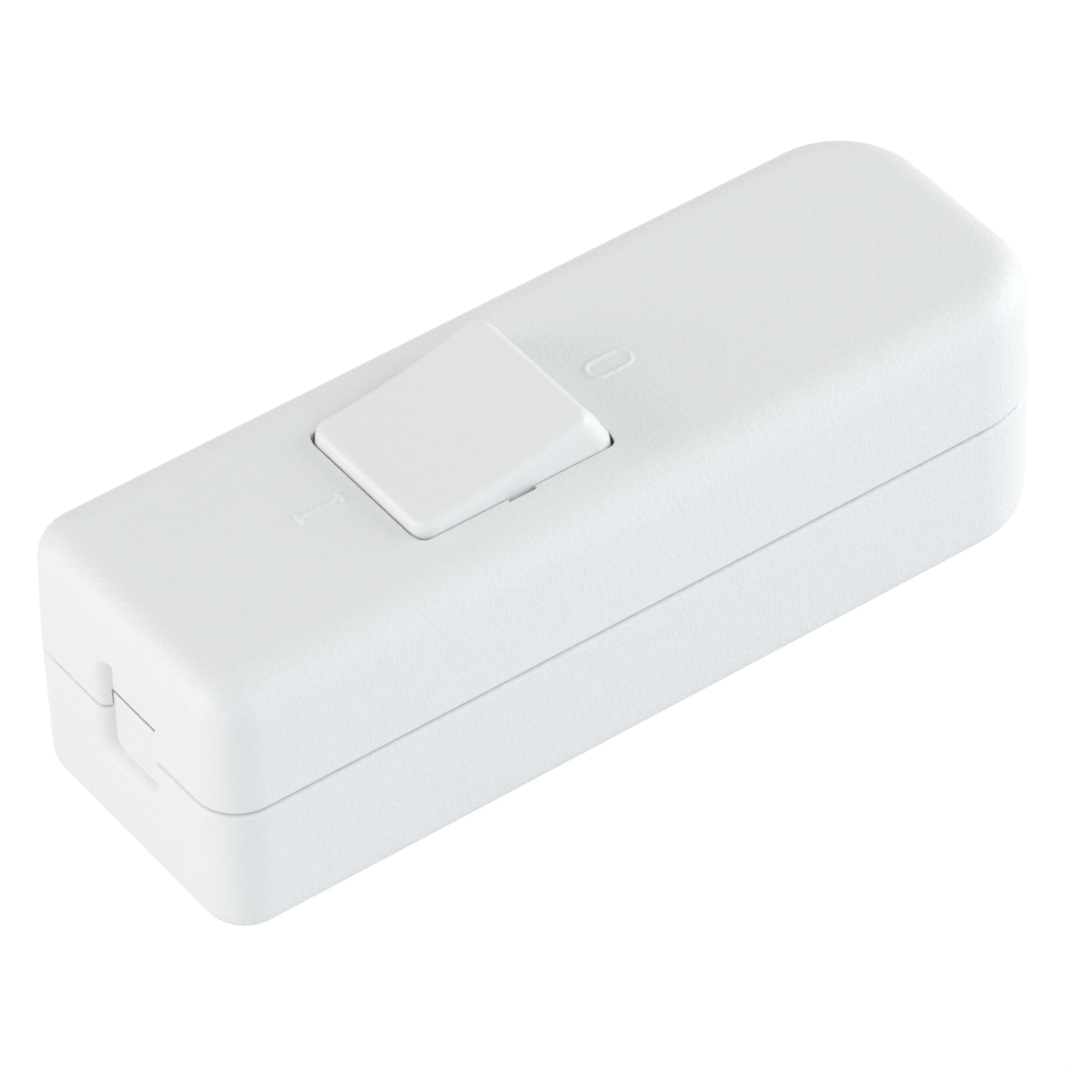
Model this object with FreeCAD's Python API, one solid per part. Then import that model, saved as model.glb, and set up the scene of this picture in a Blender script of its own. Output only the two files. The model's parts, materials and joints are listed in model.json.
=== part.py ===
import FreeCAD, Part
import math
import os

os.makedirs("parts", exist_ok=True)

V = FreeCAD.Vector

# Inline cord switch, two-pole, with a rocker in the top of a two-part housing.
# Millimetres. Origin at the middle of the underside, +Z up, +X towards the end with the rounder corners.

# Housing
length = 82.6
width = 28.0
height = 25.5
seam_height = 13.3
wall = 2.0
floor_thickness = 2.2
ceiling_thickness = 2.0
near_corner_radius = 4.0
far_corner_radius = 8.5
top_fillet = 3.4
bottom_fillet = 2.2
upper_draft = 0.3
lower_draft = 0.2

# Seam between the shells: a shadow groove outside, a tongue that locates the upper shell inside
seam_gap = 0.25
seam_edge_radius = 0.45
tongue_height = 1.75
tongue_thickness = 0.9
lap_clearance = 0.1

# Cord entries: a flared recess in each end, closed by thin webs that are broken out for the cord
entry_offset = -0.6
entry_width = 6.6
entry_rise = 5.1
entry_drop = 4.25
entry_corner_radius = 1.3
entry_flare = 1.4
entry_overrun = 0.02
web_gap = 0.32

# Opening for the rocker
rocker_x = -8.5
opening_length = 19.0
opening_width = 15.5
opening_corner_radius = 1.0
opening_edge_radius = 0.12
opening_undercut = 0.5
notch_length = 2.6
notch_depth = 0.4
notch_drop = 0.9

# Rocker and its pivot
pivot_height = 22.7
rocker_tilt = 10.4
rocker_rise = 5.55
rocker_end_clearance = 0.08
rocker_side_clearance = 0.05
rocker_end_draft = 18.0
rocker_side_draft = 0.5
rocker_straight_rise = 1.3
rocker_skirt_drop = 1.5
rocker_corner_radius = 1.6
rocker_inner_corner_radius = 0.4
rocker_edge_radius = 0.8
rocker_wall = 1.4
rocker_plate = 1.6
trunnion_radius = 1.4
trunnion_reach = 1.2
trunnion_clearance = 0.06
trunnion_end_play = 0.2
ear_length = 7.2
ear_thickness = 2.2
ear_drop = 2.6

# Plungers and springs, one of each for a pole
pole_offset = 4.0
barrel_radius = 2.4
barrel_drop = 8.0
plunger_radius = 1.5
plunger_clearance = 0.05
plunger_reach = 11.0
plunger_top_drop = 3.2
spring_seat_rise = 2.4
spring_wire_radius = 0.22
spring_turns = 6
spring_bore_clearance = 0.15

# Rocking contacts and the posts that they rock on
rocking_angle = 9.0
rocking_thickness = 1.2
rocking_off_arm = 6.5
rocking_on_arm = 8.8
tip_distance = 7.5
pivot_to_crown = 1.1
knife_clearance = 0.05
plunger_travel_gap = 0.05

# Contact tips
tip_head_radius = 1.3
tip_head_height = 0.6
tip_shank_radius = 0.6
tip_rivet_radius = 0.9
tip_rivet_height = 0.3
tip_hole_clearance = 0.02
contact_gap = 0.1

# Contact strips
strip_thickness = 0.8
strip_width = 4.0
strip_bend_radius = 0.5
fixed_strip_lead = 2.2
fixed_strip_tail = 2.8
stop_gap = 0.15
stop_distance = 5.5
stop_thickness = 1.2
stop_width = 6.4
stop_strip_clearance = 0.4

# Terminals
terminal_length = 5.5
terminal_width = 5.5
terminal_height = 7.5
terminal_base = 1.0
terminal_hole_width = 4.2
terminal_hole_height = 4.6
terminal_hole_corner = 0.6
near_terminal_distance = 10.6
far_terminal_distance = 15.4
through_terminal_distance = 24.65
through_terminal_length = 11.5
through_screw_inset = 2.8
cradle_thickness = 0.8
cradle_clearance = 0.1
cradle_height = 5.0
terminal_screw_radius = 1.45
terminal_screw_clearance = 0.05
terminal_head_radius = 2.1
terminal_head_height = 1.6
terminal_head_lift = 0.5
slot_width = 0.6
slot_depth = 0.7

# Wall between the poles
partition_thickness = 1.2
partition_top = 12.0
partition_overhang = 0.4

# Cord clamps
near_clamp_inset = 12.4
far_clamp_inset = 13.3
clamp_drop = 2.3
clamp_length = 5.0
clamp_width = 17.4
clamp_height = 3.5
clamp_edge_radius = 1.2
clamp_arch_radius = 8.0
clamp_arch_depth = 1.0
clamp_screw_offset = 6.7
clamp_screw_radius = 1.25
clamp_screw_length = 9.5
clamp_hole_clearance = 0.25
clamp_head_radius = 2.2
clamp_head_height = 1.7
pillar_radius = 2.3
thread_clearance = 0.05
saddle_thickness = 2.4
saddle_width = 9.0
saddle_drop = 2.0
saddle_radius = 5.0
saddle_depth = 1.5

# Cover screws, put in from below
column_radius = 3.7
column_bite = 0.4
well_radius = 2.8
well_depth = 5.0
cover_screw_radius = 1.4
cover_hole_radius = 1.6
cover_screw_length = 14.0
cover_head_radius = 2.5
cover_head_height = 1.9
boss_radius = 2.8
boss_hole_spare = 1.0
recess_length = 3.0
recess_width = 0.8
recess_depth = 1.0

# Heights and places that follow from the sizes above
ceiling = height - ceiling_thickness
upper_rim = seam_height + seam_gap / 2
lower_rim = seam_height - seam_gap / 2
tongue_top = seam_height + tongue_height
entry_depth = wall - tongue_thickness
rocker_half_width = opening_width / 2 - rocker_side_clearance
strip_level = floor_thickness + terminal_base + strip_thickness / 2
knife_radius = strip_thickness / 2
rock = math.radians(rocking_angle)
knife_height = (pivot_height - plunger_reach - pivot_to_crown
                - (plunger_radius + plunger_travel_gap) / math.cos(rock))
wing_top = knife_height + pivot_to_crown * math.cos(rock)
crown_x = rocker_x + pivot_to_crown * math.sin(rock)
tip_x = crown_x + tip_distance
fixed_strip_top = wing_top - rocking_thickness - 2 * tip_head_height - contact_gap
near_terminal_x = rocker_x - near_terminal_distance
far_terminal_x = rocker_x + far_terminal_distance
through_terminal_x = rocker_x + through_terminal_distance
partition_start = near_terminal_x - terminal_length / 2 - partition_overhang
partition_end = far_terminal_x + terminal_length / 2 + partition_overhang
near_clamp_x = -length / 2 + near_clamp_inset
far_clamp_x = length / 2 - far_clamp_inset
pillar_top = seam_height - clamp_drop
saddle_top = pillar_top - saddle_drop
pole_sides = {"left": 1, "right": -1}

# Part of the flare's radius that is left at the web, where the rounded mouth ends
flare_turn = math.acos(1 - (entry_depth + entry_overrun) / entry_flare)
flare_rest = entry_flare * (1 - math.sin(flare_turn))

# The shoulders of the rocker's ends swing past the rim of the opening with the end clearance
rim_reach = opening_length / 2 - rocker_end_clearance
rim_rise = height - pivot_height
rocker_half_length = math.sqrt(rim_reach ** 2 + rim_rise ** 2 - rocker_straight_rise ** 2)

# Slack for telling whether an edge lies at a place
tolerance = 1e-3


def box(x0, x1, y0, y1, z0, z1):
    return Part.makeBox(x1 - x0, y1 - y0, z1 - z0, V(x0, y0, z0))


def upright(radius, x, y, z0, z1):
    return Part.makeCylinder(radius, z1 - z0, V(x, y, z0))


def across(radius, x, z, y0, y1):
    return Part.makeCylinder(radius, y1 - y0, V(x, y0, z), V(0, 1, 0))


def rounded_wire(x0, x1, half_width, z, near_radius, far_radius):
    # Rectangle with rounded corners, lying flat at height z
    corners = [(x1, half_width, far_radius, 0), (x0, half_width, near_radius, 90),
               (x0, -half_width, near_radius, 180), (x1, -half_width, far_radius, 270)]
    arcs = []
    for x, y, radius, start in corners:
        centre = V(x - math.copysign(radius, x - (x0 + x1) / 2), y - math.copysign(radius, y), z)
        points = []
        for turn in (0, 45, 90):
            angle = math.radians(start + turn)
            points.append(centre + V(radius * math.cos(angle), radius * math.sin(angle), 0))
        arcs.append(Part.Arc(*points))
    edges = []
    for index, arc in enumerate(arcs):
        following = arcs[(index + 1) % len(arcs)]
        edges.append(arc.toShape())
        edges.append(Part.LineSegment(arc.EndPoint, following.StartPoint).toShape())
    return Part.Wire(edges)


def housing_wire(inset, z):
    # Plan outline of the housing, taken in all round
    return rounded_wire(-length / 2 + inset, length / 2 - inset, width / 2 - inset, z,
                        near_corner_radius - inset, far_corner_radius - inset)


def prism(wire, rise):
    return Part.Face(wire).extrude(V(0, 0, rise))


def level_edges(shape, z):
    # Edges that lie at height z
    found = []
    for edge in shape.Edges:
        bounds = edge.BoundBox
        if abs(bounds.ZMin - z) < tolerance and abs(bounds.ZMax - z) < tolerance:
            found.append(edge)
    return found


def fused(first, others):
    return first.multiFuse(others).removeSplitter()


def bent_strip(path, thickness, strip_y):
    # Metal strip along a path in the XZ plane, mitred at its bends and then rounded
    normals = []
    for (x0, z0), (x1, z1) in zip(path, path[1:]):
        span = math.hypot(x1 - x0, z1 - z0)
        normals.append(((z0 - z1) / span, (x1 - x0) / span))
    sides = {1: [], -1: []}
    for index, (x, z) in enumerate(path):
        before = normals[max(index - 1, 0)]
        after = normals[min(index, len(normals) - 1)]
        share = thickness / 2 / (1 + before[0] * after[0] + before[1] * after[1])
        for side in sides:
            sides[side].append(V(x + side * share * (before[0] + after[0]), strip_y - strip_width / 2,
                                 z + side * share * (before[1] + after[1])))
    outline = sides[1] + sides[-1][::-1]
    strip = Part.Face(Part.makePolygon(outline + outline[:1])).extrude(V(0, strip_width, 0))
    for index in range(1, len(path) - 1):
        before, after = normals[index - 1], normals[index]
        inner = 1 if before[1] * after[0] - before[0] * after[1] < 0 else -1
        for side, radius in ((inner, strip_bend_radius), (-inner, strip_bend_radius + thickness)):
            corner = sides[side][index]
            bend = [edge for edge in strip.Edges if along_corner(edge, corner)]
            strip = strip.makeFillet(radius, bend)
    return strip


def along_corner(edge, corner):
    ends = [vertex.Point for vertex in edge.Vertexes]
    return all(math.hypot(end.x - corner.x, end.z - corner.z) < tolerance for end in ends)


def entry_cutter(end):
    # Recess with a bell-shaped mouth as far as the web: a plate less that plate with a rounded-over pocket
    face_x = length / 2 + entry_overrun
    back_x = length / 2 - entry_depth
    foot_x = back_x - entry_flare
    margin = 2 * entry_flare
    low = seam_height - entry_drop + flare_rest
    high = seam_height + entry_rise - flare_rest
    half = entry_width / 2 - flare_rest
    y0, y1 = entry_offset - half, entry_offset + half
    plate = box(foot_x, face_x, y0 - margin, y1 + margin, low - margin, high + margin)
    pocket = box(foot_x, face_x, y0, y1, low, high)
    pocket = pocket.makeFillet(entry_corner_radius, [edge for edge in pocket.Edges if runs_along_x(edge)])
    frame = plate.cut(pocket)
    mouth = [edge for edge in frame.Edges if on_pocket_mouth(edge, face_x, low, high)]
    web = box(foot_x, back_x, y0 - margin, y1 + margin, low - margin, high + margin)
    cutter = plate.cut([frame.makeFillet(entry_flare, mouth), web])
    if end < 0:
        cutter = cutter.mirror(V(0, 0, 0), V(1, 0, 0))
    return cutter


def runs_along_x(edge):
    bounds = edge.BoundBox
    return bounds.XLength > tolerance and max(bounds.YLength, bounds.ZLength) < tolerance


def on_pocket_mouth(edge, face_x, low, high):
    bounds = edge.BoundBox
    flat = abs(bounds.XMin - face_x) < tolerance and abs(bounds.XMax - face_x) < tolerance
    narrow = bounds.YLength < entry_width + tolerance
    return flat and narrow and bounds.ZMin > low - tolerance and bounds.ZMax < high + tolerance


def web_slit(end):
    # Slit between the webs: the lower shell's tongue is cut down behind the recess
    half = entry_width / 2
    x0, x1 = sorted((end * (length / 2 - wall - lap_clearance), end * length / 2))
    return box(x0, x1, entry_offset - half, entry_offset + half, tongue_top - web_gap, tongue_top)


def rocker_opening(rise):
    # Outline of the opening at a height over the top face; its ends lean outwards below
    lean = -opening_undercut * rise / ceiling_thickness
    half = opening_length / 2 + lean
    return rounded_wire(rocker_x - half, rocker_x + half, opening_width / 2, height + rise,
                        opening_corner_radius, opening_corner_radius)


def on_opening_rim(edge):
    bounds = edge.BoundBox
    return bounds.YMax < width / 4 + opening_width / 4 and bounds.YMin > -width / 4 - opening_width / 4


def column_places():
    # One cover screw in a near corner and one in the far corner across from it
    near_x = -length / 2 + wall + column_radius - column_bite
    near_y = width / 2 - wall - column_radius + column_bite
    reach = (far_corner_radius - wall - column_radius + column_bite) / math.sqrt(2)
    far_x = length / 2 - far_corner_radius + reach
    far_y = width / 2 - far_corner_radius + reach
    return [(near_x, near_y), (far_x, -far_y)]


def clamp_screw_places():
    return [(x, side * clamp_screw_offset) for x in (near_clamp_x, far_clamp_x) for side in (1, -1)]


def terminal_places():
    places = {}
    for side_name, side in pole_sides.items():
        places["near_" + side_name] = (near_terminal_x, side * pole_offset, terminal_length)
        places["far_" + side_name] = (far_terminal_x, side * pole_offset, terminal_length)
    places["through"] = (through_terminal_x, 0, through_terminal_length)
    return places


def terminal_screw_places():
    places = [(x, side * pole_offset) for x in (near_terminal_x, far_terminal_x) for side in (1, -1)]
    reach = through_terminal_length / 2 - through_screw_inset
    return places + [(through_terminal_x - reach, 0), (through_terminal_x + reach, 0)]


def upper_shell():
    outside = Part.makeLoft([housing_wire(0, upper_rim), housing_wire(upper_draft, height)], True, True)
    outside = outside.makeFillet(top_fillet, level_edges(outside, height))
    outside = outside.makeFillet(seam_edge_radius, level_edges(outside, upper_rim))
    shell = outside.cut(prism(housing_wire(wall, upper_rim), ceiling - upper_rim))
    rebate = wall - tongue_thickness - lap_clearance
    shell = shell.cut(prism(housing_wire(rebate, upper_rim), tongue_top - upper_rim))
    ends = [rocker_opening(-2 * ceiling_thickness), rocker_opening(ceiling_thickness)]
    shell = shell.cut(Part.makeLoft(ends, True, True))
    rim = [edge for edge in level_edges(shell, height) if on_opening_rim(edge)]
    shell = shell.makeFillet(opening_edge_radius, rim)
    additions = []
    for x, y in column_places():
        additions.append(upright(boss_radius, x, y, seam_height, ceiling))
    for side in (1, -1):
        y0, y1 = sorted((side * opening_width / 2, side * (opening_width / 2 + ear_thickness)))
        additions.append(box(rocker_x - ear_length / 2, rocker_x + ear_length / 2, y0, y1,
                             pivot_height - ear_drop, ceiling))
    shell = fused(shell, additions)
    cuts = [entry_cutter(-1), entry_cutter(1)]
    half_notch = opening_width / 2 + notch_depth
    cuts.append(box(rocker_x - notch_length / 2, rocker_x + notch_length / 2, -half_notch, half_notch,
                    height - notch_drop, height))
    bearing_radius = trunnion_radius + trunnion_clearance
    bearing_reach = rocker_half_width + trunnion_reach + trunnion_end_play
    cuts.append(across(bearing_radius, rocker_x, pivot_height, -bearing_reach, bearing_reach))
    hole_radius = cover_screw_radius + thread_clearance
    hole_top = well_depth + cover_screw_length + boss_hole_spare
    for x, y in column_places():
        cuts.append(upright(hole_radius, x, y, seam_height, hole_top))
    return shell.cut(cuts)


def lower_shell():
    outside = Part.makeLoft([housing_wire(lower_draft, 0), housing_wire(0, lower_rim)], True, True)
    outside = outside.makeFillet(bottom_fillet, level_edges(outside, 0))
    outside = outside.makeFillet(seam_edge_radius, level_edges(outside, lower_rim))
    hollow = prism(housing_wire(wall, floor_thickness), tongue_top - floor_thickness)
    tongue = prism(housing_wire(wall - tongue_thickness, lower_rim - wall), tongue_top - lower_rim + wall)
    tongue = tongue.cut([web_slit(-1), web_slit(1)])
    shell = outside.fuse(tongue).cut(hollow)
    cavity = prism(housing_wire(wall / 2, 0), tongue_top)
    additions = []
    for x, y in column_places():
        additions.append(upright(column_radius, x, y, floor_thickness / 2, seam_height).common(cavity))
    for x, y in clamp_screw_places():
        additions.append(upright(pillar_radius, x, y, floor_thickness / 2, pillar_top))
    for x in (near_clamp_x, far_clamp_x):
        additions.append(cord_saddle(x))
    additions.append(box(partition_start, partition_end, -partition_thickness / 2, partition_thickness / 2,
                         floor_thickness / 2, partition_top))
    for side in pole_sides.values():
        additions += contact_supports(side)
    for x, y, block_length in terminal_places().values():
        additions += cradle_ribs(x, y, block_length)
    stop_foot = strip_level + strip_thickness / 2 + stop_strip_clearance
    stop_top = wing_top - rocking_thickness - stop_gap
    stop_x = rocker_x - stop_distance
    additions.append(box(stop_x - stop_thickness / 2, stop_x + stop_thickness / 2,
                         -stop_width / 2, stop_width / 2, stop_foot, stop_top))
    shell = fused(shell, additions)
    cuts = [entry_cutter(-1), entry_cutter(1)]
    for x, y in column_places():
        cuts.append(upright(well_radius, x, y, 0, well_depth))
        cuts.append(upright(cover_hole_radius, x, y, 0, seam_height))
    for x, y in clamp_screw_places():
        screw_foot = pillar_top + clamp_height - clamp_screw_length
        cuts.append(upright(clamp_screw_radius + thread_clearance, x, y, screw_foot, pillar_top))
    return shell.cut(cuts)


def cord_saddle(x):
    # Rib with a hollowed top that the cord lies on
    rib = box(x - saddle_thickness / 2, x + saddle_thickness / 2, -saddle_width / 2, saddle_width / 2,
              floor_thickness / 2, saddle_top)
    centre = V(x - saddle_thickness, 0, saddle_top - saddle_depth + saddle_radius)
    return rib.cut(Part.makeCylinder(saddle_radius, 2 * saddle_thickness, centre, V(1, 0, 0)))


def contact_supports(side):
    # Ledge under the foot of the pivot post and pillar under the fixed contact
    y0 = side * pole_offset - strip_width / 2
    y1 = side * pole_offset + strip_width / 2
    ledge = box(rocker_x - strip_width / 2, rocker_x + strip_thickness, y0, y1,
                floor_thickness / 2, strip_level - strip_thickness / 2)
    pillar = box(tip_x - fixed_strip_lead, tip_x + fixed_strip_tail - strip_thickness / 2, y0, y1,
                 floor_thickness / 2, fixed_strip_top - strip_thickness)
    corner = V(tip_x + fixed_strip_tail - strip_thickness / 2, 0, fixed_strip_top - strip_thickness)
    bend = [edge for edge in pillar.Edges if along_corner(edge, corner)]
    pillar = pillar.makeFillet(strip_bend_radius, bend)
    relief = across(tip_rivet_radius + stop_gap, tip_x, fixed_strip_top - strip_thickness, y0, y1)
    return [ledge, pillar.cut(relief)]


def cradle_ribs(x, y, block_length):
    # Low walls on both sides of a terminal
    ribs = []
    for side in (1, -1):
        inner = y + side * (terminal_width / 2 + cradle_clearance)
        outer = inner + side * cradle_thickness
        y0, y1 = sorted((inner, outer))
        ribs.append(box(x - block_length / 2, x + block_length / 2, y0, y1,
                        floor_thickness / 2, floor_thickness + cradle_height))
    return ribs


def rocker_shape(inset, top, bottom):
    # Rocker block round its pivot: straight lower part, drafted upper part, both with rounded corners
    ends = math.tan(math.radians(rocker_end_draft)) * (rocker_rise - rocker_straight_rise)
    sides = math.tan(math.radians(rocker_side_draft)) * (rocker_rise - rocker_straight_rise)
    share = (top - rocker_straight_rise) / (rocker_rise - rocker_straight_rise)
    half_length = rocker_half_length - inset
    half_width = rocker_half_width - inset
    corner = max(rocker_corner_radius - inset, rocker_inner_corner_radius)

    def ring(level, taken):
        return rounded_wire(rocker_x - half_length + taken * ends, rocker_x + half_length - taken * ends,
                            half_width - taken * sides, pivot_height + level, corner, corner)

    lower = prism(ring(bottom, 0), rocker_straight_rise - bottom)
    upper = Part.makeLoft([ring(rocker_straight_rise, 0), ring(top, share)], True, True)
    return lower.fuse(upper).removeSplitter()


def pose_with_rocker(shape):
    # Rocker pressed down at its near end
    shape.rotate(V(rocker_x, 0, pivot_height), V(0, 1, 0), -rocker_tilt)
    return shape


def rocker():
    block = rocker_shape(0, rocker_rise, -rocker_skirt_drop)
    block = block.makeFillet(rocker_edge_radius, level_edges(block, pivot_height + rocker_rise))
    plate_under = rocker_rise - rocker_plate
    block = block.cut(rocker_shape(rocker_wall, plate_under, -rocker_skirt_drop))
    additions = []
    for side in (1, -1):
        root, tip = rocker_half_width - rocker_wall, rocker_half_width + trunnion_reach
        y0, y1 = sorted((side * root, side * tip))
        additions.append(across(trunnion_radius, rocker_x, pivot_height, y0, y1))
        additions.append(upright(barrel_radius, rocker_x, side * pole_offset,
                                 pivot_height - barrel_drop, pivot_height + plate_under + rocker_plate / 2))
    block = fused(block, additions)
    bores = []
    for side in (1, -1):
        bores.append(upright(plunger_radius + plunger_clearance, rocker_x, side * pole_offset,
                             pivot_height - barrel_drop, pivot_height + spring_seat_rise))
    return pose_with_rocker(block.cut(bores))


def plunger(side):
    centre = V(rocker_x, side * pole_offset, pivot_height - plunger_reach)
    pin = upright(plunger_radius, rocker_x, side * pole_offset, pivot_height - plunger_reach,
                  pivot_height - plunger_top_drop)
    return pose_with_rocker(pin.fuse(Part.makeSphere(plunger_radius, centre)).removeSplitter())


def spring(side):
    coil_radius = plunger_radius - spring_bore_clearance - spring_wire_radius
    low = pivot_height - plunger_top_drop + spring_wire_radius
    rise = spring_seat_rise + plunger_top_drop - 2 * spring_wire_radius
    helix = Part.makeHelix(rise / spring_turns, rise, coil_radius)
    section = Part.makeCircle(spring_wire_radius, V(coil_radius, 0, 0), V(0, 1, 0))
    coil = Part.Wire(helix.Edges).makePipeShell([Part.Wire([section])], True, True)
    coil.translate(V(rocker_x, side * pole_offset, low))
    return pose_with_rocker(coil)


def rocking_contact(side):
    # Strip with a shallow bend at its crown; the wing over the fixed contact lies level when switched on
    y = side * pole_offset
    rise = 2 * rock
    middle = wing_top - rocking_thickness / 2
    crown_mid = crown_x - rocking_thickness / 2 * math.tan(rock)
    off_end = (crown_mid - rocking_off_arm * math.cos(rise), middle + rocking_off_arm * math.sin(rise))
    path = [off_end, (crown_mid, middle), (crown_x + rocking_on_arm, middle)]
    strip = bent_strip(path, rocking_thickness, y)
    y0, y1 = y - strip_width, y + strip_width
    groove_radius = knife_radius + knife_clearance
    groove = across(groove_radius, rocker_x, knife_height, y0, y1)
    slot = box(rocker_x - groove_radius, rocker_x + groove_radius, y0, y1,
               knife_height - rocking_thickness, knife_height)
    slot.rotate(V(rocker_x, 0, knife_height), V(0, 1, 0), rocking_angle)
    hole = upright(tip_shank_radius + tip_hole_clearance, tip_x, y, middle - rocking_thickness,
                   middle + rocking_thickness)
    return strip.cut([groove, slot, hole])


def contact_tip(side, face_height, upward, strip_depth):
    # Rivet with a flat silver head on one side of a strip and a closed head on the other
    y = side * pole_offset
    profile = [(0, 0), (tip_head_radius, 0), (tip_head_radius, tip_head_height),
               (tip_shank_radius, tip_head_height), (tip_shank_radius, tip_head_height + strip_depth),
               (tip_rivet_radius, tip_head_height + strip_depth),
               (tip_rivet_radius, tip_head_height + strip_depth + tip_rivet_height),
               (0, tip_head_height + strip_depth + tip_rivet_height)]
    points = [V(tip_x + radius, y, face_height + upward * depth) for radius, depth in profile]
    face = Part.Face(Part.makePolygon(points + points[:1]))
    return face.revolve(V(tip_x, y, 0), V(0, 0, 1), 360)


def moving_tip(side):
    return contact_tip(side, wing_top - rocking_thickness - tip_head_height, 1, rocking_thickness)


def fixed_tip(side):
    return contact_tip(side, fixed_strip_top + tip_head_height, -1, strip_thickness)


def pivot_contact(side):
    # Strip from the terminal to a post with a rounded top edge
    y = side * pole_offset
    path = [(near_terminal_x - terminal_length / 2, strip_level), (rocker_x, strip_level),
            (rocker_x, knife_height)]
    edge = across(knife_radius, rocker_x, knife_height, y - strip_width / 2, y + strip_width / 2)
    return bent_strip(path, strip_thickness, y).fuse(edge).removeSplitter()


def fixed_contact(side):
    # Strip from the seat of the fixed tip, down its pillar and along to the terminal
    y = side * pole_offset
    upper_level = fixed_strip_top - strip_thickness / 2
    bend_x = tip_x + fixed_strip_tail
    path = [(tip_x - fixed_strip_lead, upper_level), (bend_x, upper_level), (bend_x, strip_level),
            (far_terminal_x + terminal_length / 2, strip_level)]
    strip = bent_strip(path, strip_thickness, y)
    hole = upright(tip_shank_radius + tip_hole_clearance, tip_x, y, upper_level - strip_thickness,
                   upper_level + strip_thickness)
    return strip.cut(hole)


def terminal(x, y, block_length, screw_xs):
    # Brass block with a passage for the wire and threaded holes from above
    x0, x1 = x - block_length / 2, x + block_length / 2
    top = floor_thickness + terminal_height
    block = box(x0, x1, y - terminal_width / 2, y + terminal_width / 2, floor_thickness, top)
    passage = box(x0, x1, y - terminal_hole_width / 2, y + terminal_hole_width / 2,
                  floor_thickness + terminal_base, floor_thickness + terminal_base + terminal_hole_height)
    upper_edges = [edge for edge in passage.Edges
                   if runs_along_x(edge) and edge.BoundBox.ZMin > floor_thickness + terminal_base]
    cuts = [passage.makeFillet(terminal_hole_corner, upper_edges)]
    for screw_x in screw_xs:
        cuts.append(upright(terminal_screw_radius + terminal_screw_clearance, screw_x, y,
                            floor_thickness + terminal_base + terminal_hole_height / 2, top))
    return block.cut(cuts)


def screw(x, y, foot, seat, shank_radius, head_radius, head_height):
    shank = upright(shank_radius, x, y, foot, seat)
    return shank.fuse(upright(head_radius, x, y, seat, seat + head_height)).removeSplitter()


def slotted(body, x, y, top, reach):
    return body.cut(box(x - reach, x + reach, y - slot_width / 2, y + slot_width / 2, top - slot_depth, top))


def terminal_screws():
    foot = strip_level + strip_thickness / 2
    seat = floor_thickness + terminal_height + terminal_head_lift
    screws = []
    for x, y in terminal_screw_places():
        body = screw(x, y, foot, seat, terminal_screw_radius, terminal_head_radius, terminal_head_height)
        screws.append(slotted(body, x, y, seat + terminal_head_height, terminal_head_radius))
    return Part.makeCompound(screws)


def cord_clamp(x):
    bar = box(x - clamp_length / 2, x + clamp_length / 2, -clamp_width / 2, clamp_width / 2,
              pillar_top, pillar_top + clamp_height)
    uprights = [edge for edge in bar.Edges if edge.BoundBox.ZLength > clamp_height / 2]
    bar = bar.makeFillet(clamp_edge_radius, uprights)
    centre = V(x - clamp_length, 0, pillar_top + clamp_arch_depth - clamp_arch_radius)
    cuts = [Part.makeCylinder(clamp_arch_radius, 2 * clamp_length, centre, V(1, 0, 0))]
    for side in (1, -1):
        cuts.append(upright(clamp_screw_radius + clamp_hole_clearance, x, side * clamp_screw_offset,
                            pillar_top, pillar_top + clamp_height))
    return bar.cut(cuts)


def cord_clamp_screws():
    seat = pillar_top + clamp_height
    screws = []
    for x, y in clamp_screw_places():
        body = screw(x, y, seat - clamp_screw_length, seat,
                     clamp_screw_radius, clamp_head_radius, clamp_head_height)
        screws.append(slotted(body, x, y, seat + clamp_head_height, clamp_head_radius))
    return Part.makeCompound(screws)


def cover_screws():
    screws = []
    for x, y in column_places():
        shank = upright(cover_screw_radius, x, y, well_depth, well_depth + cover_screw_length)
        body = shank.fuse(upright(cover_head_radius, x, y, well_depth - cover_head_height, well_depth))
        body = body.removeSplitter()
        low = well_depth - cover_head_height
        long_half, short_half = recess_length / 2, recess_width / 2
        cross = [box(x - long_half, x + long_half, y - short_half, y + short_half, low, low + recess_depth),
                 box(x - short_half, x + short_half, y - long_half, y + long_half, low, low + recess_depth)]
        screws.append(body.cut(cross))
    return Part.makeCompound(screws)


def export(node, shape):
    shape.exportStep("parts/" + node + ".step")


export("upper_shell", upper_shell())
export("lower_shell", lower_shell())
export("rocker", rocker())
export("cover_screws", cover_screws())
export("near_cord_clamp", cord_clamp(near_clamp_x))
export("far_cord_clamp", cord_clamp(far_clamp_x))
export("cord_clamp_screws", cord_clamp_screws())
export("terminal_screws", terminal_screws())

for place, (x, y, block_length) in terminal_places().items():
    screw_xs = [screw_x for screw_x, screw_y in terminal_screw_places()
                if abs(screw_x - x) < block_length / 2 and abs(screw_y - y) < tolerance]
    export(place + "_terminal", terminal(x, y, block_length, screw_xs))

for pole, side in pole_sides.items():
    export(pole + "_plunger", plunger(side))
    export(pole + "_spring", spring(side))
    export(pole + "_rocking_contact", rocking_contact(side))
    export(pole + "_moving_tip", moving_tip(side))
    export(pole + "_pivot_contact", pivot_contact(side))
    export(pole + "_fixed_contact", fixed_contact(side))
    export(pole + "_fixed_tip", fixed_tip(side))
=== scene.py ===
import json
import math

import bmesh
import bpy
import numpy as np
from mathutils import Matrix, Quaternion, Vector


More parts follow.
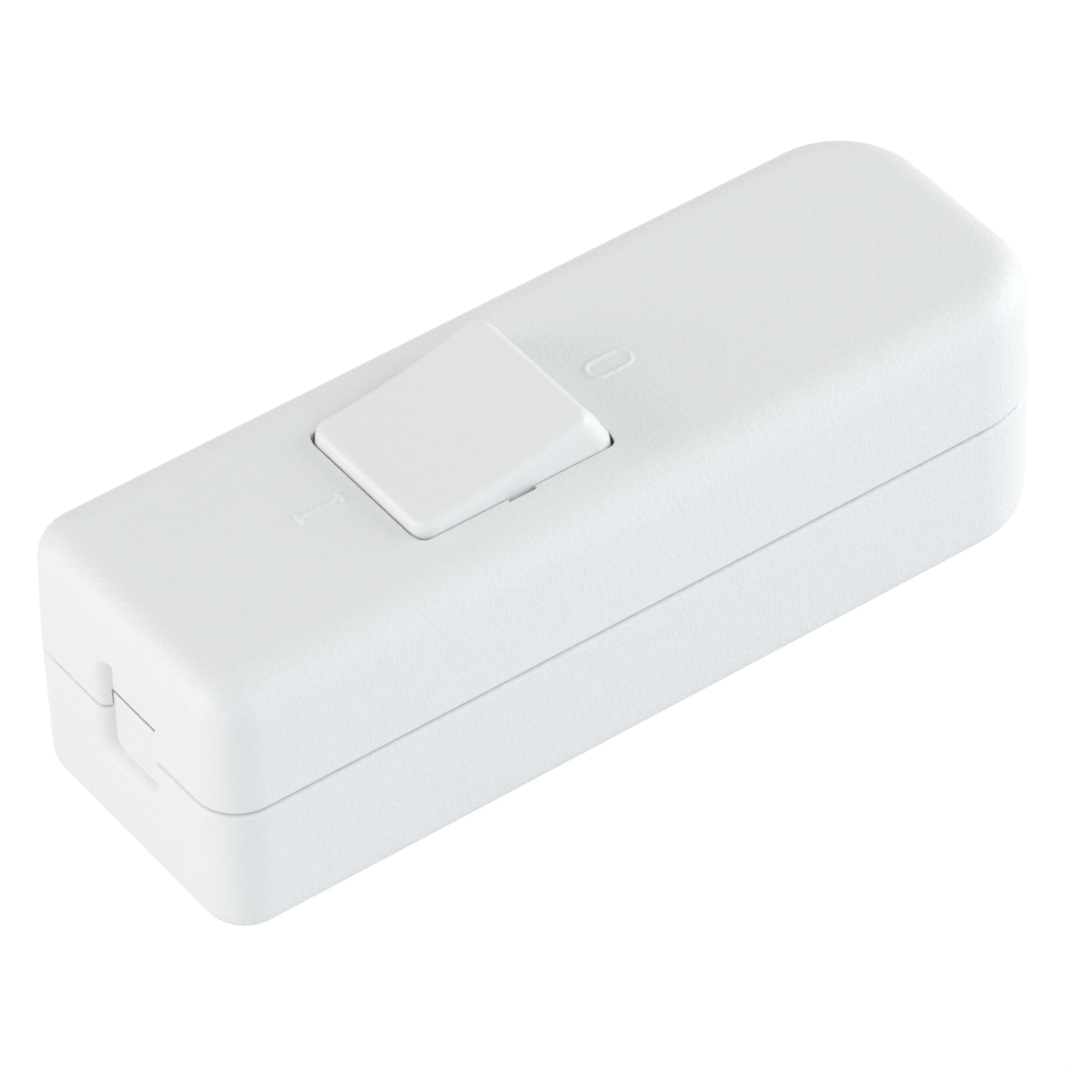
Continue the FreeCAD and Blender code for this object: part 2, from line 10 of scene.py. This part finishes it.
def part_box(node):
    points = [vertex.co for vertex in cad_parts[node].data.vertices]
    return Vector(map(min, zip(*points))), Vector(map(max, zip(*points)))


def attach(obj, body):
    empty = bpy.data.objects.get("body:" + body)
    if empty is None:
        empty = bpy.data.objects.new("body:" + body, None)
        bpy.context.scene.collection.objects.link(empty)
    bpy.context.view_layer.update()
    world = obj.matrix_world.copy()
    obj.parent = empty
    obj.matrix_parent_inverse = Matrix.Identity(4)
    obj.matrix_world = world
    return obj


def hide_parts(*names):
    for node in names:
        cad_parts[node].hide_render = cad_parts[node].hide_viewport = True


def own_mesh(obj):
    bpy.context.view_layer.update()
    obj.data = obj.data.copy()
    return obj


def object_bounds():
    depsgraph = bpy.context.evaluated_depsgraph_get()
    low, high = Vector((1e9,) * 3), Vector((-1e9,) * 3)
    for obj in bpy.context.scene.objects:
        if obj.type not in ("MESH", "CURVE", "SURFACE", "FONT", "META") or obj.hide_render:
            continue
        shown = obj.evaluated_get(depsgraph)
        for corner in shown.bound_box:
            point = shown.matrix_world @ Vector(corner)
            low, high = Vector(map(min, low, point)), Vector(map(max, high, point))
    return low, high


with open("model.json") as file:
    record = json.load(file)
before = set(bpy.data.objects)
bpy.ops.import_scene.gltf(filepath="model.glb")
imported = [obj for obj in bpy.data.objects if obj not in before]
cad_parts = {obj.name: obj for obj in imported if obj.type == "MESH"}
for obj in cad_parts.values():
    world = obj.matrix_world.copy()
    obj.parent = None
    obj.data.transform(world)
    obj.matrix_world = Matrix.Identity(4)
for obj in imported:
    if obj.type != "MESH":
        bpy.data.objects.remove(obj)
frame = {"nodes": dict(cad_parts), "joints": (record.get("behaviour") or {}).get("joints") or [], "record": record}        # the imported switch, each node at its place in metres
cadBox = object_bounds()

mm = 0.001
jointByName = {joint["name"]: joint for joint in frame["joints"]}
rockerAxis = Vector(jointByName["rocker_tilt"]["pos_m"])
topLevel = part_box("upper_shell")[1].z
print("frame loaded:", len(frame["nodes"]), "nodes, top face at", round(topLevel / mm, 2), "mm")


# Camera

cameraLook = {
    "azimuth": -34.772,                              # degrees, 0 looks along +Y
    "elevation": 43.069,
    "roll": -1.942,
    "distance": 649.4 * mm,
    "target": Vector((-1.754, 0.369, 11.2)) * mm,
    "lens": 275.767,                                 # on a 36 mm sensor
    "sensor": 36.0,
    "nearClip": 0.1,                                 # shares of the distance
    "farClip": 20.0,
}


def placeCamera(look):
    # back is the unit vector from the target to the camera
    turn, rise = math.radians(look["azimuth"]), math.radians(look["elevation"])
    back = Vector((math.sin(turn) * math.cos(rise), -math.cos(turn) * math.cos(rise), math.sin(rise)))
    data = bpy.data.cameras.new("camera")
    data.lens = look["lens"]
    data.sensor_width = look["sensor"]
    data.clip_start = look["distance"] * look["nearClip"]
    data.clip_end = look["distance"] * look["farClip"]
    camera = bpy.data.objects.new("camera", data)
    bpy.context.scene.collection.objects.link(camera)
    camera.location = look["target"] + back * look["distance"]
    camera.rotation_mode = "QUATERNION"
    level = (-back).to_track_quat("-Z", "Y")
    camera.rotation_quaternion = level @ Quaternion((0.0, 0.0, 1.0), math.radians(look["roll"]))
    bpy.context.scene.camera = camera


placeCamera(cameraLook)
print("camera placed")


# Shader nodes used all over the script

def mathNode(nodes, links, operation, first, second):
    node = nodes.new("ShaderNodeMath")
    node.operation = operation
    for socket, value in zip(node.inputs, (first, second)):
        if isinstance(value, (int, float)):
            socket.default_value = value
        else:
            links.new(value, socket)
    return node.outputs[0]


def mixShaders(nodes, links, share, first, second):
    mix = nodes.new("ShaderNodeMixShader")
    links.new(share, mix.inputs[0])
    links.new(first.outputs[0], mix.inputs[1])
    links.new(second.outputs[0], mix.inputs[2])
    return mix.outputs[0]


def seenRays(nodes, links):
    # 1 for a camera, glossy or transmission ray, 0 for the diffuse rays that light the object
    path = nodes.new("ShaderNodeLightPath")
    seen = mathNode(nodes, links, "MAXIMUM", path.outputs["Is Camera Ray"], path.outputs["Is Glossy Ray"])
    return mathNode(nodes, links, "MAXIMUM", seen, path.outputs["Is Transmission Ray"])


# Studio: white backdrop for what the camera sees, softer light for the object

studioLook = {
    "skyLight": 0.642,
    "skyTint": (0.98, 1.0, 0.99, 1.0),
    "backdrop": (1.0, 1.0, 1.0, 1.0),
    "backdropLight": 1.0,
    "floorSize": 3.0,                                # metres
    "floorDrop": 0.02 * mm,
    "floorColour": (0.9, 0.9, 0.9, 1.0),
    "floorWhite": 0.86,                              # share of the plain white backdrop in the floor
    "floorGlow": 1.06,
    "lamps": [
        {"name": "left_softbox", "towards": (-0.9, 0.3, 0.25), "watts": 1.78, "tint": (1.0, 0.96, 1.0)},
        {"name": "right_softbox", "towards": (0.95, -0.3, 0.3), "watts": 2.05, "tint": (0.98, 0.965, 1.0)},
        {"name": "front_softbox", "towards": (-0.1, -0.85, 0.45), "watts": 0.8, "tint": (0.8, 0.88, 1.0)},
    ],
    "lampDistance": 0.7,                             # metres
    "lampSize": 0.45,
}


def makeSky(look):
    world = bpy.data.worlds.new("studio")
    world.use_nodes = True
    nodes, links = world.node_tree.nodes, world.node_tree.links
    nodes.clear()
    light = nodes.new("ShaderNodeBackground")
    light.inputs["Color"].default_value = look["skyTint"]
    light.inputs["Strength"].default_value = look["skyLight"]
    white = nodes.new("ShaderNodeBackground")
    white.inputs["Color"].default_value = look["backdrop"]
    white.inputs["Strength"].default_value = look["backdropLight"]
    out = nodes.new("ShaderNodeOutputWorld")
    links.new(mixShaders(nodes, links, seenRays(nodes, links), light, white), out.inputs["Surface"])
    bpy.context.scene.world = world


def makeFloor(look):
    half = look["floorSize"] / 2
    corners = [(-half, -half), (half, -half), (half, half), (-half, half)]
    mesh = bpy.data.meshes.new("floor")
    mesh.from_pydata([(x, y, -look["floorDrop"]) for x, y in corners], [], [(0, 1, 2, 3)])
    material = bpy.data.materials.new("floor_paper")
    material.use_nodes = True
    nodes, links = material.node_tree.nodes, material.node_tree.links
    nodes.clear()
    paper = nodes.new("ShaderNodeBsdfDiffuse")
    paper.inputs["Color"].default_value = look["floorColour"]
    glow = nodes.new("ShaderNodeEmission")
    glow.inputs["Strength"].default_value = look["floorGlow"]
    share = mathNode(nodes, links, "MULTIPLY", seenRays(nodes, links), look["floorWhite"])
    out = nodes.new("ShaderNodeOutputMaterial")
    links.new(mixShaders(nodes, links, share, paper, glow), out.inputs["Surface"])
    mesh.materials.append(material)
    floor = bpy.data.objects.new("floor", mesh)
    bpy.context.scene.collection.objects.link(floor)


def makeLamps(look):
    middle = (cadBox[0] + cadBox[1]) / 2
    for lamp in look["lamps"]:
        towards = Vector(lamp["towards"]).normalized()
        data = bpy.data.lights.new(lamp["name"], "AREA")
        data.size = look["lampSize"]
        data.energy = lamp["watts"]
        data.color = lamp["tint"]
        holder = bpy.data.objects.new(lamp["name"], data)
        bpy.context.scene.collection.objects.link(holder)
        holder.location = middle + towards * look["lampDistance"]
        holder.rotation_mode = "QUATERNION"
        holder.rotation_quaternion = (-towards).to_track_quat("-Z", "Y")


makeSky(studioLook)
makeFloor(studioLook)
makeLamps(studioLook)
bpy.context.scene.view_settings.view_transform = "Standard"
print("studio lit")


# Shader groups shared by several materials

def newGroup(name, inputs, outputs):
    group = bpy.data.node_groups.new(name, "ShaderNodeTree")
    for socketName, value in inputs.items():
        socket = group.interface.new_socket(socketName, in_out="INPUT", socket_type="NodeSocketFloat")
        socket.default_value = value
    for socketName in outputs:
        group.interface.new_socket(socketName, in_out="OUTPUT", socket_type="NodeSocketFloat")
    entry = group.nodes.new("NodeGroupInput")
    leave = group.nodes.new("NodeGroupOutput")
    return group, entry, leave


def noiseNode(nodes, links, place, scale, detail):
    node = nodes.new("ShaderNodeTexNoise")
    node.inputs["Detail"].default_value = detail
    links.new(place, node.inputs["Vector"])
    if isinstance(scale, (int, float)):
        node.inputs["Scale"].default_value = scale
    else:
        links.new(scale, node.inputs["Scale"])
    return node.outputs["Fac"]


grainLook = {"fineScale": 2500.0, "fineDetail": 2.0, "coarseScale": 420.0, "coarseDetail": 1.0,
             "coarseShare": 0.35, "cloudScale": 60.0, "cloudDetail": 2.0}


def makeGrainGroup(look):
    # Spark-eroded mould texture: fine grain on a coarser one, with a slow cloud for the roughness
    group, entry, leave = newGroup("mould_grain", {"Size": 1.0}, ["Height", "Cloud"])
    nodes, links = group.nodes, group.links
    place = nodes.new("ShaderNodeTexCoord").outputs["Object"]
    fineScale = mathNode(nodes, links, "DIVIDE", look["fineScale"], entry.outputs["Size"])
    coarseScale = mathNode(nodes, links, "DIVIDE", look["coarseScale"], entry.outputs["Size"])
    fine = noiseNode(nodes, links, place, fineScale, look["fineDetail"])
    coarse = noiseNode(nodes, links, place, coarseScale, look["coarseDetail"])
    part = mathNode(nodes, links, "MULTIPLY", coarse, look["coarseShare"])
    cloud = noiseNode(nodes, links, place, look["cloudScale"], look["cloudDetail"])
    links.new(mathNode(nodes, links, "ADD", fine, part), leave.inputs["Height"])
    links.new(cloud, leave.inputs["Cloud"])
    return group


drawnLook = {"stretch": (0.04, 1.0, 1.0), "lineScale": 5200.0, "lineDetail": 2.0,
             "stainScale": 330.0, "stainDetail": 3.0}


def makeDrawnGroup(look):
    # Drawn or machined metal: fine lines along X and a slow stain
    group, entry, leave = newGroup("drawn_metal", {"Size": 1.0}, ["Lines", "Stain"])
    nodes, links = group.nodes, group.links
    place = nodes.new("ShaderNodeTexCoord").outputs["Object"]
    mapping = nodes.new("ShaderNodeMapping")
    mapping.inputs["Scale"].default_value = look["stretch"]
    links.new(place, mapping.inputs["Vector"])
    lineScale = mathNode(nodes, links, "DIVIDE", look["lineScale"], entry.outputs["Size"])
    lines = noiseNode(nodes, links, mapping.outputs["Vector"], lineScale, look["lineDetail"])
    stain = noiseNode(nodes, links, place, look["stainScale"], look["stainDetail"])
    links.new(lines, leave.inputs["Lines"])
    links.new(stain, leave.inputs["Stain"])
    return group


grainGroup = makeGrainGroup(grainLook)
drawnGroup = makeDrawnGroup(drawnLook)


# Materials

noiseLow, noiseHigh = 0.3, 0.7                       # where most of a noise value lies


def newMaterial(name):
    material = bpy.data.materials.new(name)
    material.use_nodes = True
    nodes = material.node_tree.nodes
    return material, nodes, material.node_tree.links, nodes["Principled BSDF"]


def useGroup(nodes, group, size):
    node = nodes.new("ShaderNodeGroup")
    node.node_tree = group
    node.inputs["Size"].default_value = size
    return node


def spread(nodes, links, value, low, high):
    # Maps a noise value from its usual range on to low to high
    node = nodes.new("ShaderNodeMapRange")
    node.inputs["From Min"].default_value = noiseLow
    node.inputs["From Max"].default_value = noiseHigh
    node.inputs["To Min"].default_value = low
    node.inputs["To Max"].default_value = high
    links.new(value, node.inputs["Value"])
    return node.outputs["Result"]


def tinted(nodes, links, value, dark, light):
    mix = nodes.new("ShaderNodeMix")
    mix.data_type = "RGBA"
    mix.inputs["A"].default_value = dark
    mix.inputs["B"].default_value = light
    links.new(spread(nodes, links, value, 0.0, 1.0), mix.inputs["Factor"])
    return mix.outputs["Result"]


def bumped(nodes, links, height, look):
    bump = nodes.new("ShaderNodeBump")
    bump.inputs["Strength"].default_value = look["bumpStrength"]
    bump.inputs["Distance"].default_value = look["bumpDepth"]
    links.new(height, bump.inputs["Height"])
    return bump.outputs["Normal"]


def moulded(name, look):
    # Thermoplastic as it leaves the mould
    material, nodes, links, shader = newMaterial(name)
    grain = useGroup(nodes, grainGroup, look["grainSize"])
    height, cloud = grain.outputs["Height"], grain.outputs["Cloud"]
    # Base colour follows the grain's height: painted shade in its hollows, painted highlight on its crests
    links.new(tinted(nodes, links, height, look["hollow"], look["paintedCrestLight"]), shader.inputs["Base Color"])
    links.new(spread(nodes, links, cloud, *look["roughness"]), shader.inputs["Roughness"])
    links.new(bumped(nodes, links, height, look), shader.inputs["Normal"])
    shader.inputs["IOR"].default_value = look["ior"]
    return material


def metal(name, look):
    # Bare or plated metal with drawn lines
    material, nodes, links, shader = newMaterial(name)
    drawn = useGroup(nodes, drawnGroup, look["lineSize"])
    lines, stain = drawn.outputs["Lines"], drawn.outputs["Stain"]
    links.new(tinted(nodes, links, stain, look["dull"], look["bright"]), shader.inputs["Base Color"])
    links.new(spread(nodes, links, lines, *look["roughness"]), shader.inputs["Roughness"])
    links.new(bumped(nodes, links, lines, look), shader.inputs["Normal"])
    shader.inputs["Metallic"].default_value = 1.0
    return material


# The two colours of each plastic are its own white with painted shade for the grain's hollows and painted
# highlight for its crests
plasticLooks = {
    "housing_plastic": {"hollow": (0.818, 0.826, 0.821, 1.0), "paintedCrestLight": (0.843, 0.848, 0.844, 1.0),
                        "grainSize": 1.0, "roughness": (0.46, 0.54),
                        "bumpStrength": 1.0, "bumpDepth": 0.075 * mm, "ior": 1.48},
    "rocker_plastic": {"hollow": (0.842, 0.847, 0.838, 1.0), "paintedCrestLight": (0.859, 0.863, 0.855, 1.0),
                       "grainSize": 0.8, "roughness": (0.36, 0.43),
                       "bumpStrength": 0.22, "bumpDepth": 0.015 * mm, "ior": 1.48},
    "clamp_plastic": {"hollow": (0.77, 0.77, 0.75, 1.0), "paintedCrestLight": (0.81, 0.81, 0.79, 1.0),
                      "grainSize": 1.2, "roughness": (0.4, 0.5),
                      "bumpStrength": 0.3, "bumpDepth": 0.02 * mm, "ior": 1.5},
    "plunger_plastic": {"hollow": (0.72, 0.71, 0.66, 1.0), "paintedCrestLight": (0.77, 0.76, 0.71, 1.0),
                        "grainSize": 0.7, "roughness": (0.3, 0.38),
                        "bumpStrength": 0.2, "bumpDepth": 0.01 * mm, "ior": 1.52},
}
metalLooks = {
    "screw_steel": {"dull": (0.58, 0.58, 0.56, 1.0), "bright": (0.7, 0.7, 0.68, 1.0), "lineSize": 1.0,
                    "roughness": (0.26, 0.4), "bumpStrength": 0.15, "bumpDepth": 0.01 * mm},
    "spring_steel": {"dull": (0.42, 0.42, 0.43, 1.0), "bright": (0.56, 0.56, 0.57, 1.0), "lineSize": 0.6,
                     "roughness": (0.22, 0.34), "bumpStrength": 0.1, "bumpDepth": 0.006 * mm},
    "terminal_brass": {"dull": (0.68, 0.5, 0.22, 1.0), "bright": (0.83, 0.66, 0.34, 1.0), "lineSize": 1.4,
                       "roughness": (0.24, 0.38), "bumpStrength": 0.2, "bumpDepth": 0.012 * mm},
    "contact_brass": {"dull": (0.72, 0.54, 0.25, 1.0), "bright": (0.84, 0.67, 0.36, 1.0), "lineSize": 0.8,
                      "roughness": (0.2, 0.32), "bumpStrength": 0.12, "bumpDepth": 0.008 * mm},
    "contact_silver": {"dull": (0.74, 0.73, 0.7, 1.0), "bright": (0.86, 0.85, 0.82, 1.0), "lineSize": 0.7,
                       "roughness": (0.24, 0.36), "bumpStrength": 0.1, "bumpDepth": 0.006 * mm},
}
finishes = {slotName: moulded(slotName + "_finish", look) for slotName, look in plasticLooks.items()}
finishes.update({slotName: metal(slotName + "_finish", look) for slotName, look in metalLooks.items()})

for subpart in frame["record"]["subparts"]:
    for materialSlot in frame["nodes"][subpart["node"]].material_slots:
        materialSlot.material = finishes[subpart["material_slot"]]


# Meshes of the new pieces

def showMesh(mesh, slotName, body):
    mesh.polygons.foreach_set("use_smooth", np.ones(len(mesh.polygons), dtype=bool))
    mesh.materials.clear()
    mesh.materials.append(finishes[slotName])
    mesh.update()
    piece = bpy.data.objects.new(mesh.name, mesh)
    bpy.context.scene.collection.objects.link(piece)
    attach(piece, body)
    return piece


def addPiece(name, vertices, faces, slotName, body):
    mesh = bpy.data.meshes.new(name)
    mesh.from_pydata(vertices.tolist(), [], faces)
    return showMesh(mesh, slotName, body)


def loopFaces(rings, around):
    # Quads of a surface that closes on itself both ways
    i, j = np.meshgrid(np.arange(rings), np.arange(around), indexing="ij")
    ring, nextRing, nextPoint = i * around, (i + 1) % rings * around, (j + 1) % around
    quads = np.stack([ring + j, nextRing + j, nextRing + nextPoint, ring + nextPoint], -1)
    return quads.reshape(-1, 4).tolist()


def tubeFaces(rings, around, offset=0):
    # Quads between rings, and a fan at each pole; the poles are the last two vertices
    i, j = np.meshgrid(np.arange(rings - 1), np.arange(around), indexing="ij")
    ring, nextRing, nextPoint = i * around, (i + 1) * around, (j + 1) % around
    quads = np.stack([ring + j, ring + nextPoint, nextRing + nextPoint, nextRing + j], -1)
    point = np.arange(around)
    following = (point + 1) % around
    last = (rings - 1) * around
    startPole = np.full(around, rings * around)
    startFan = np.stack([startPole, following, point], -1)
    endFan = np.stack([startPole + 1, last + point, last + following], -1)
    fans = np.stack([startFan, endFan], 1)
    return (quads.reshape(-1, 4) + offset).tolist() + (fans.reshape(-1, 3) + offset).tolist()


# Raised signs on the top face

def ridgeSection(look):
    # A cosine swell above the face, which meets it level, and a flat arc sunk below it
    section = np.linspace(0.0, 2 * np.pi, look["around"], endpoint=False)
    swell = look["height"] * (1 + np.cos(np.pi * np.cos(section))) / 2
    rise = np.where(np.sin(section) > 0, swell, np.sin(section) * look["sink"])
    return np.cos(section) * look["ridge"] / 2, rise


def signCentre(look):
    return np.array([rockerAxis.x + look["distance"], look["side"], topLevel])


offSign = {"distance": 14.17 * mm, "side": 0.05 * mm, "length": 4.75 * mm, "width": 2.65 * mm,
           "ridge": 0.72 * mm, "height": 0.14 * mm, "sink": 0.08 * mm,
           "bend": 6.0,                              # how fast the ends pass into the straight sides
           "rings": 120, "around": 32}


def makeOffSign(look):
    # Ridge carried along a racetrack: a circle, moved out along X by half the straight length times
    # the tanh of bend times the cosine of the turn
    radius = (look["width"] - look["ridge"]) / 2
    straight = (look["length"] - look["width"]) / 2
    turn = np.linspace(0.0, 2 * np.pi, look["rings"], endpoint=False)
    out = np.stack([np.cos(turn), np.sin(turn)], -1)
    shift = straight * np.tanh(look["bend"] * out[:, :1]) * np.array([[1.0, 0.0]])
    path = out * radius + shift
    reach, rise = ridgeSection(look)
    flat = path[:, None, :] + out[:, None, :] * reach[None, :, None]
    level = np.broadcast_to(rise[None, :, None], flat.shape[:2] + (1,))
    vertices = (np.concatenate([flat, level], -1) + signCentre(look)).reshape(-1, 3)
    addPiece("off_sign", vertices, loopFaces(look["rings"], look["around"]), "housing_plastic", "housing")


onSign = {"distance": -13.4 * mm, "side": 0.27 * mm, "length": 4.6 * mm, "serif": 1.35 * mm,
          "ridge": 0.64 * mm, "height": 0.17 * mm, "sink": 0.08 * mm, "rings": 24, "around": 32}


def capsuleRidge(first, second, look):
    # Ridge between two points on the face: a tilt from -90 to 90 degrees moves each ring by half the
    # ridge times its sine, the first half of them round one end, and shrinks the section by its cosine
    along = second - first
    span = np.linalg.norm(along)
    along = along / span
    across = np.array([-along[1], along[0]])
    half = look["ridge"] / 2
    tilt = np.linspace(-np.pi / 2, np.pi / 2, look["rings"] + 2)[1:-1]
    station = np.where(tilt < 0, 0.0, span) + np.sin(tilt) * half
    reach, swell = ridgeSection(look)
    wide = np.cos(tilt)[:, None] * reach[None, :]
    rise = np.cos(tilt)[:, None] * swell[None, :]
    flat = first + station[:, None, None] * along + wide[:, :, None] * across
    rings = np.concatenate([flat, rise[:, :, None]], -1).reshape(-1, 3)
    poles = np.array([[*(first - along * half), 0.0], [*(second + along * half), 0.0]])
    return np.concatenate([rings, poles])


def makeOnSign(look):
    # Stem along X with a short serif at each end
    reach = look["length"] / 2 - look["ridge"] / 2
    serif = look["serif"] / 2 - look["ridge"] / 2
    bars = [((-reach, 0.0), (reach, 0.0))]
    bars += [((end, -serif), (end, serif)) for end in (-reach, reach)]
    vertices, faces = [], []
    for number, (first, second) in enumerate(bars):
        ridge = capsuleRidge(np.array(first), np.array(second), look)
        vertices.append(ridge)
        faces += tubeFaces(look["rings"], look["around"], number * len(ridge))
    addPiece("on_sign", np.concatenate(vertices) + signCentre(look), faces, "housing_plastic", "housing")


makeOffSign(offSign)
makeOnSign(onSign)
print("signs raised")


# Rocker with a shallow trough across its top

slideAxis = np.array(jointByName["left_plunger_slide"]["axis"], dtype=float)
upward = slideAxis / np.linalg.norm(slideAxis)       # square to the rocker's top at rest
forward = np.array([upward[2], 0.0, -upward[0]])     # along the rocker, towards the O end
pivot = np.array(rockerAxis)

troughLook = {
    "depth": 0.63 * mm,
    "reach": 8.36 * mm,                              # half length of the trough
    "rollStart": 6.9 * mm,                           # where the edge at the O end starts to roll off
    "rollDepth": 0.38 * mm,
    "plate": 3.95 * mm,                              # heights over the pivot: what lies below keeps its form
    "fillet": 4.75 * mm,                             # and what lies above this moves as a whole
    "cuts": 33,
    "rollCuts": 9,
    "weld": 0.0005 * mm,
    "sharpAngle": 32.0,
    "areaWeight": 100,                               # how much large faces rule the shading
}


def stripRocker(look):
    # Copy of the solid, merged and cut across into strips, which are finer where the edge rolls off
    shape = bmesh.new()
    shape.from_mesh(frame["nodes"]["rocker"].data)
    bmesh.ops.remove_doubles(shape, verts=shape.verts[:], dist=look["weld"])
    even = np.linspace(-look["reach"], look["reach"], look["cuts"])
    rolled = np.linspace(look["rollStart"], look["reach"], look["rollCuts"])
    for station in np.concatenate([even[even < look["rollStart"]], rolled]):
        parts = shape.verts[:] + shape.edges[:] + shape.faces[:]
        bmesh.ops.bisect_plane(shape, geom=parts, dist=look["weld"],
                               plane_co=pivot + forward * station, plane_no=forward)
    mesh = bpy.data.meshes.new("trough_rocker")
    shape.to_mesh(mesh)
    shape.free()
    return mesh


def makeTroughRocker(look):
    # The top drops by depth times one less the square of along over reach, and past rollStart by
    # rollDepth times the square of the way from there to reach. Both grow from nothing at the plate's
    # height to their full size at the fillet's
    mesh = stripRocker(look)
    points = np.empty(len(mesh.vertices) * 3)
    mesh.vertices.foreach_get("co", points)
    points = points.reshape(-1, 3)
    along, rise = (points - pivot) @ forward, (points - pivot) @ upward
    share = np.clip((rise - look["plate"]) / (look["fillet"] - look["plate"]), 0.0, 1.0)
    trough = look["depth"] * np.clip(1.0 - (along / look["reach"]) ** 2, 0.0, 1.0)
    roll = np.clip((along - look["rollStart"]) / (look["reach"] - look["rollStart"]), 0.0, 1.0)
    drop = (trough + look["rollDepth"] * roll ** 2) * share
    points = points - drop[:, None] * upward
    mesh.vertices.foreach_set("co", points.ravel())
    piece = showMesh(mesh, "rocker_plastic", "rocker")
    mesh.set_sharp_from_angle(angle=math.radians(look["sharpAngle"]))
    shading = piece.modifiers.new("even_shading", "WEIGHTED_NORMAL")
    shading.mode = "FACE_AREA"
    shading.weight = look["areaWeight"]
    shading.keep_sharp = True
    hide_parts("rocker")


makeTroughRocker(troughLook)
print("rocker shaped")


# Plunger springs, which ride with the rocker

springLook = {
    "turns": 6,
    "wire": 0.22 * mm,                               # radius of the wire
    "coil": 1.13 * mm,                               # radius of the wire's middle line
    "foot": -3.2 * mm,                               # ends, from the rocker's axis along the slide
    "seat": 2.4 * mm,
    "slack": 0.002,                                  # share of the length that is also given up
    "steps": 48,
    "around": 12,
}


def makeSpring(pole, look):
    # Round wire carried along a helix, which turns round the slide's line at the coil's radius and
    # rises evenly from the foot to the seat
    sideways = np.array([0.0, 1.0, 0.0])
    low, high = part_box(pole + "_plunger")
    foot = pivot + sideways * (low.y + high.y) / 2 + upward * look["foot"]
    length = look["seat"] - look["foot"]
    rise = length - 2 * look["wire"]
    rings = look["turns"] * look["steps"] + 1
    share = np.linspace(0.0, 1.0, rings)
    turn = 2 * np.pi * look["turns"] * share
    outward = np.cos(turn)[:, None] * forward + np.sin(turn)[:, None] * sideways
    around = np.cos(turn)[:, None] * sideways - np.sin(turn)[:, None] * forward
    middle = foot + outward * look["coil"] + (look["wire"] + rise * share)[:, None] * upward
    pitch = rise / (2 * np.pi * look["turns"])
    tangent = around * look["coil"] + upward * pitch
    tangent = tangent / np.linalg.norm(tangent, axis=1, keepdims=True)
    across = np.cross(tangent, outward)
    section = np.linspace(0.0, 2 * np.pi, look["around"], endpoint=False)[None, :, None]
    ring = np.cos(section) * outward[:, None, :] + np.sin(section) * across[:, None, :]
    wire = (middle[:, None, :] + ring * look["wire"]).reshape(-1, 3)
    vertices = np.concatenate([wire, middle[[0, -1]]])
    name = pole + "_plunger_spring"
    piece = addPiece(name, vertices, tubeFaces(rings, look["around"]), "spring_steel", "rocker")
    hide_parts(pole + "_spring")
    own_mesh(piece)


for pole in ("left", "right"):
    makeSpring(pole, springLook)
print("springs wound")
